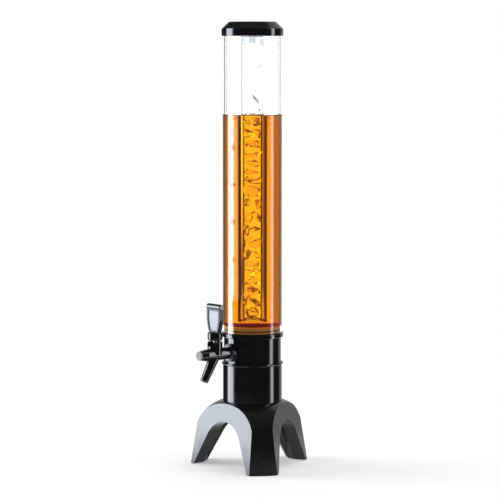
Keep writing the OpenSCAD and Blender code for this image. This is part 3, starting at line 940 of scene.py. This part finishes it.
@dataclass
class Lid:
    """The lid with its plug and the socket that the ice tube hangs in, and its seal."""

    top: float = 752.7
    shoulder: float = 741.2
    rest: float = 739.0
    bottom: float = 729.0
    rim: float = 52.0
    flat: float = 40.0
    crown: Point = (0.6, 0.3)
    inner_top: float = 749.7
    inner_slope: Point = (1.4, 0.6)
    band_bore: float = 50.25
    plug: float = 46.7
    plug_bore: float = 43.2
    plug_end: float = 731.5
    plug_lead: float = 1.0
    groove: float = 44.9
    groove_low: float = 4.8
    groove_high: float = 2.8
    rim_lead: float = 0.5
    shoulder_cut: Point = (1.2, 0.8)
    socket: float = 24.5
    socket_bore: float = 22.0
    lip_bore: float = 19.72
    lip_bottom: float = 729.6
    lip_top: float = 731.2
    lip_lap: float = 0.2
    lip_turn: float = 150.0
    lip_span: float = 90.0
    lip_steps: int = 24

    def build(self, shop: Shop) -> None:
        """Makes the lid with rounded edges and the three arcs of its bayonet's lip."""
        outline = [
            (0, self.inner_top),
            (self.socket_bore, self.inner_top),
            (self.socket_bore, self.lip_bottom),
            (self.socket, self.lip_bottom),
            (self.socket, self.inner_top),
            (self.flat - self.inner_slope[0], self.inner_top),
            (self.plug_bore, self.shoulder + self.inner_slope[1]),
            (self.plug_bore, self.plug_end),
            (self.plug - self.plug_lead, self.plug_end),
            (self.plug, self.plug_end + self.plug_lead),
            (self.plug, self.rest - self.groove_low),
            (self.groove, self.rest - self.groove_low),
            (self.groove, self.rest - self.groove_high),
            (self.plug, self.rest - self.groove_high),
            (self.plug, self.rest),
            (self.band_bore, self.rest),
            (self.band_bore, self.bottom),
            (self.rim - self.rim_lead, self.bottom),
            (self.rim, self.bottom + self.rim_lead),
            (self.rim, self.shoulder),
            (self.rim - self.shoulder_cut[0], self.shoulder + self.shoulder_cut[1]),
            (self.flat, self.top - self.crown[1]),
            (self.flat - self.crown[0], self.top),
            (0, self.top),
        ]
        bm = turned(outline, soften=0.3)
        lip = [
            (self.lip_bore, self.lip_bottom),
            (self.socket_bore + self.lip_lap, self.lip_bottom),
            (self.socket_bore + self.lip_lap, self.lip_top),
            (self.lip_bore, self.lip_top),
        ]
        for k in range(3):
            start = math.radians(k * 120 + self.lip_turn)
            swept(bm, lip, start, start + math.radians(self.lip_span), self.lip_steps)
        shop.piece("lid_rounded", bm, BLACK, Body.LID, "gloss_black", ["lid"])
        shop.dress("lid_seal", SEAL_RUBBER)


@dataclass
class IceCore:
    """The ice tube, its stopper and the ice in it."""

    edge_angle: float = 30.0
    bottom: float = 250.1
    level: float = 594.0
    top: float = 688.0
    layer: float = 19.0
    layer_spread: Span = (0.7, 1.3)
    layer_gap: float = 0.3
    room: float = 17.2
    corners: int = 13
    corner_reach: Span = (0.3, 1.0)
    corner_power: float = 0.6
    half_spread: float = 1.2
    lump_round: float = 1.1
    lump_angle: float = 12.0

    def build(self, shop: Shop) -> None:
        """Makes the tube, the stopper and the ice."""
        bm = rounded("ice_tube", 0.3, self.edge_angle, segments=2)
        shop.piece(
            "ice_tube_wall",
            bm,
            ICE_WALL,
            Body.ICE,
            "clear_ice_tube",
            ["ice_tube"],
            weighted=False,
            turn_out=False,
        )
        bm = rounded("ice_plug", 0.4, self.edge_angle)
        shop.piece("ice_stopper", bm, STOPPER, Body.ICE, "clear_stopper", ["ice_plug"], turn_out=False)
        self.ice(shop)

    def ice(self, shop: Shop) -> None:
        """Broken ice in layers of one or two lumps, wet below the drink's level and dry above it."""
        draw = random.Random(5)
        wet, dry = bmesh.new(), bmesh.new()
        z = self.bottom
        while z < self.top:
            tall = self.layer * draw.uniform(*self.layer_spread)
            count = draw.choice((1, 2, 2))
            split = draw.uniform(0, TURN)
            for side in range(count):
                self.lump(wet if z < self.level else dry, draw, z, tall, split + side * math.pi, count)
            z += tall
        for name, bm, finish in (("wet_ice_lumps", wet, ICE), ("dry_ice_lumps", dry, FROST)):
            round_edges(bm, self.lump_round, self.lump_angle)
            shop.piece(name, bm, finish, Body.ICE, "clear_ice_tube", weighted=False)

    def lump(
        self, bm: bmesh.types.BMesh, draw: random.Random, z: float, tall: float, facing: float, count: int
    ) -> None:
        """Adds one lump of ice: the hull of points in a layer or in half of it.

        Args:
            bm: the mesh that it goes into.
            draw: the source of random numbers.
            z: the layer's lower height.
            tall: its height.
            facing: the angle that the lump's half faces.
            count: how many lumps the layer has.
        """
        verts = []
        spread = self.half_spread if count == 2 else math.pi
        for _ in range(self.corners):
            turn = facing + draw.uniform(-spread, spread)
            out = self.room * draw.uniform(*self.corner_reach) ** self.corner_power
            height = z + self.layer_gap + (tall - 2 * self.layer_gap) * draw.random()
            verts.append(bm.verts.new((out * math.cos(turn) * MM, out * math.sin(turn) * MM, height * MM)))
        hull = bmesh.ops.convex_hull(bm, input=verts, use_existing_faces=False)
        loose = [v for v in set(hull["geom_interior"]) if isinstance(v, bmesh.types.BMVert)]
        bmesh.ops.delete(bm, geom=loose, context="VERTS")


@dataclass
class Tap:
    """The tap on the collar and its inner pieces."""

    rounds: tuple[tuple[str, float], ...] = (("tap_body", 0.35), ("escutcheon", 0.25), ("bonnet", 0.3))
    edge_angle: float = 28.0
    dressed: tuple[tuple[str, Finish], ...] = (
        ("end_cap", SILVER),
        ("tap_shank", STEEL),
        ("tap_nut", STEEL),
        ("inner_washer", SEAL_RUBBER),
        ("outer_washer", SEAL_RUBBER),
        ("ball_washer", WASHER),
        ("valve_shaft", STEEL),
        ("valve_disc", SEAL_RUBBER),
        ("piston_seal", SEAL_RUBBER),
    )

    def build(self, shop: Shop) -> None:
        """Makes rounded copies of what shows and dresses the rest."""
        for node, width in self.rounds:
            bm = rounded(node, width, self.edge_angle)
            shop.piece(f"{node}_rounded", bm, TAP_BLACK, Body.TOWER, "tap_black", [node], turn_out=False)
        for node, finish in self.dressed:
            shop.dress(node, finish)


@dataclass
class Lever:
    """The lever's stem, ferrule and handle."""

    rounds: tuple[tuple[str, float, Finish, str], ...] = (
        ("ferrule", 0.35, TAP_BLACK, "tap_black"),
        ("handle_frame", 0.45, HANDLE_BLACK, "tap_black"),
        ("handle_bar", 0.3, TAP_BLACK, "tap_black"),
        ("handle_insert", 0.4, PALE, "pale_insert"),
    )
    edge_angle: float = 30.0

    def build(self, shop: Shop) -> None:
        """Makes rounded copies of the handle's pieces."""
        shop.dress("lever_stem", STEEL)
        for node, width, finish, slot in self.rounds:
            bm = rounded(node, width, self.edge_angle)
            shop.piece(f"{node}_rounded", bm, finish, Body.LEVER, slot, [node], turn_out=False)


# ---- Studio ----


@dataclass(frozen=True)
class Patch:
    """A soft-edged patch of the surroundings, in degrees.

    Attributes:
        centre: the azimuth of its middle from -Y.
        half: half its width.
        soft: how far its sides fade out.
        height: the height of its middle.
        tall: half its height, or 180 for all heights.
        fade: how far its top and bottom fade out.
        light: how bright it is.
    """

    centre: float
    half: float
    soft: float
    height: float = 0.0
    tall: float = 180.0
    fade: float = 6.0
    light: float = 1.0

    def mask(self, turn: Value, rise: Value) -> Value:
        """How much of the patch lies in a direction.

        Args:
            turn: the direction's azimuth from -Y, in radians.
            rise: its height, in radians.

        Returns:
            1 inside the patch, 0 outside it.
        """
        aside = (turn - math.radians(self.centre)).maths("WRAP", math.pi, -math.pi).maths("ABSOLUTE")
        mask = aside.ramp(math.radians(self.half), math.radians(self.half + self.soft), 1.0, 0.0)
        if self.tall < 180:
            above = (rise - math.radians(self.height)).maths("ABSOLUTE")
            mask = mask * above.ramp(math.radians(self.tall), math.radians(self.tall + self.fade), 1.0, 0.0)
        return mask

    def glow(self, turn: Value, rise: Value) -> Value:
        """The patch's light in a direction."""
        return self.mask(turn, rise) * self.light


def step(rise: Value, low: float, high: float) -> Value:
    """A smooth step over a height, between two angles in degrees."""
    return rise.ramp(math.radians(low), math.radians(high))


@dataclass(frozen=True)
class SoftLight:
    """A square area light that gloss and glass don't see.

    Attributes:
        name: its name.
        turn: its azimuth from -Y, in degrees.
        rise: its height over the point that it is turned to, in degrees.
        away: its distance from that point.
        size: its width.
        watts: its power.
        aim: the height of the point.
    """

    name: str
    turn: float
    rise: float
    away: float
    size: float
    watts: float
    aim: float = 0.3

    def build(self) -> None:
        """Adds the light, turned towards the object."""
        data = bpy.data.lights.new(self.name, "AREA")
        data.shape = "SQUARE"
        data.size = self.size
        data.energy = self.watts
        lamp = bpy.data.objects.new(self.name, data)
        bpy.context.scene.collection.objects.link(lamp)
        a, e = math.radians(self.turn), math.radians(self.rise)
        way = Vector((math.sin(a) * math.cos(e), -math.cos(a) * math.cos(e), math.sin(e)))
        lamp.location = way * self.away + Vector((0, 0, self.aim))
        lamp.rotation_euler = way.to_track_quat("Z", "Y").to_euler()
        lamp.visible_glossy = False
        lamp.visible_transmission = False
        lamp.visible_camera = False


@dataclass
class Studio:
    """The camera, the pale floor, the soft lights and what the gloss reflects."""

    azimuth: float = 50.07
    pitch: float = 5.139
    eye: tuple[float, float, float] = (2829.40, -2373.62, 700.26)
    lens: float = 157.61
    floor_radius: float = 0.62
    floor_near: float = 0.66
    floor_fade: Span = (0.4, 0.97)
    backdrop: Patch = Patch(212, 24, 14, 0, 50, 15, light=0.52)
    left_box: Patch = Patch(-46, 10, 11, 10, 22, 14, light=10.0)
    right_box: Patch = Patch(133, 5, 4, 18, 32, light=6.0)
    behind: Patch = Patch(227, 20, 12, light=1.35)
    behind_wide: Patch = Patch(225, 44, 8, light=0.42)
    right_glow: Patch = Patch(150, 22, 12, 18, 40, light=0.2)
    left_glow: Patch = Patch(-22, 4, 18, 10, 30, light=1.4)
    gloss_ceiling: float = 0.1
    gloss_room: float = 0.04
    glass_left: float = 6.0
    glass_ceiling: float = 1.5
    glass_room: float = 0.16
    plain_light: float = 0.6
    cool: Colour = (0.84, 0.9, 1.0)
    cool_right: float = 0.6
    lights: tuple[SoftLight, ...] = (
        SoftLight("Left soft light", -50, 26, 2.4, 1.4, 38.0),
        SoftLight("Right soft light", 120, 30, 2.4, 0.8, 10.0),
        SoftLight("Top soft light", 200, 75, 2.2, 1.6, 20.0),
    )

    def build(self) -> None:
        """Sets up the whole scene around the object."""
        self.camera()
        self.world()
        self.floor()
        for light in self.lights:
            light.build()
        scene = bpy.context.scene
        scene.view_settings.view_transform = "Standard"
        scene.cycles.max_bounces = 32
        scene.cycles.transmission_bounces = 28
        scene.cycles.glossy_bounces = 8
        scene.cycles.transparent_max_bounces = 24

    def camera(self) -> None:
        """The camera at the photograph's place."""
        data = bpy.data.cameras.new("Camera")
        data.sensor_fit = "HORIZONTAL"
        data.sensor_width = 36.0
        data.lens = self.lens
        data.clip_start = 0.1
        data.clip_end = 50.0
        camera = bpy.data.objects.new("Camera", data)
        bpy.context.scene.collection.objects.link(camera)
        camera.location = Vector(self.eye) * MM
        camera.rotation_euler = (math.radians(90 - self.pitch), 0.0, math.radians(self.azimuth))
        bpy.context.scene.camera = camera

    def world(self) -> None:
        """White to the eye; to gloss and glass a white backdrop, soft boxes and a darker room."""
        world = bpy.data.worlds.new("Studio")
        bpy.context.scene.world = world
        world.use_nodes = True
        g = Graph(world.node_tree)
        x, y, z = g.axes(g.node("ShaderNodeTexCoord").outputs["Generated"])
        turn = x.maths("ARCTAN2", y * -1.0)
        rise = z.maths("ARCSINE")
        left, right = self.left_box.mask(turn, rise), self.right_box.mask(turn, rise)
        path = g.node("ShaderNodeLightPath")
        camera, glossy, through = (
            g.value(path.outputs[f"Is {name} Ray"]) for name in ("Camera", "Glossy", "Transmission")
        )
        rest = (1.0 - camera) * (1.0 - glossy) * (1.0 - through)
        gloss = self.gloss(turn, rise) + left * self.left_box.light + right * self.right_box.light
        clear = self.clear(turn, rise) + left * self.glass_left
        strength = camera + glossy * (1.0 - through) * gloss + through * clear + rest * self.plain_light
        boxes = left.maths("MAXIMUM", right * self.cool_right) * (1.0 - camera)
        cool = g.blend(boxes, (1, 1, 1), self.cool)
        light = g.node("ShaderNodeBackground", {}, {"Color": cool, "Strength": strength})
        g.node("ShaderNodeOutputWorld", {}, {"Surface": light.outputs[0]})

    def gloss(self, turn: Value, rise: Value) -> Value:
        """What gloss reflects besides the soft boxes: the backdrop, a faint ceiling and a dark room."""
        ceiling = step(rise, 35, 75) * self.gloss_ceiling
        return self.backdrop.glow(turn, rise) + ceiling + self.gloss_room

    def clear(self, turn: Value, rise: Value) -> Value:
        """What shows through glass besides the left box: the lit backdrop, a dark band and the ceiling."""
        band = step(rise, 32, 40) - step(rise, 50, 56)
        behind = self.behind.glow(turn, rise) + self.behind_wide.glow(turn, rise) + self.glass_room
        beside = self.right_glow.glow(turn, rise) + self.left_glow.glow(turn, rise)
        return behind * (1.0 - band) + step(rise, 52, 60) * self.glass_ceiling + beside

    def floor(self) -> None:
        """A round white floor whose far part is as white as the background."""
        bm = bmesh.new()
        bmesh.ops.create_circle(bm, cap_ends=True, segments=96, radius=self.floor_radius)
        mesh = bpy.data.meshes.new("Floor")
        bm.to_mesh(mesh)
        bm.free()
        material = bpy.data.materials.new("Pale floor")
        material.use_nodes = True
        g = Graph(material.node_tree)
        where = g.node("ShaderNodeTexCoord").outputs["Object"]
        reach = g.value(g.node("ShaderNodeVectorMath", {"operation": "LENGTH"}, {0: where}).outputs["Value"])
        near_end, far_end = (self.floor_radius * share for share in self.floor_fade)
        near = reach.ramp(near_end, far_end, self.floor_near, 0.0)
        speck = g.noise(where, 90, 3).ramp(0.3, 0.8, 0.0, 0.015)
        colour = g.blend(speck, (0.86, 0.86, 0.87), (0.7, 0.7, 0.7))
        lit = g.node("ShaderNodeBsdfDiffuse", {}, {"Color": colour}).outputs[0]
        plain = g.node("ShaderNodeEmission", {}, {"Color": (1, 1, 1), "Strength": 1.0}).outputs[0]
        g.show(g.mix_shaders(near, plain, lit))
        mesh.materials.append(material)
        floor = bpy.data.objects.new("Floor", mesh)
        bpy.context.scene.collection.objects.link(floor)


def main() -> None:
    """Builds the studio and the tower, piece by piece."""
    logging.basicConfig(level=logging.INFO, format="%(name)s: %(message)s")
    shop = Shop()
    Studio().build()
    for assembly in (Tube(), Collar(), Lid(), IceCore(), Tap(), Lever()):
        assembly.build(shop)
    LOG.info("%d new pieces", len(shop.made))


if __name__ == "__main__":
    main()
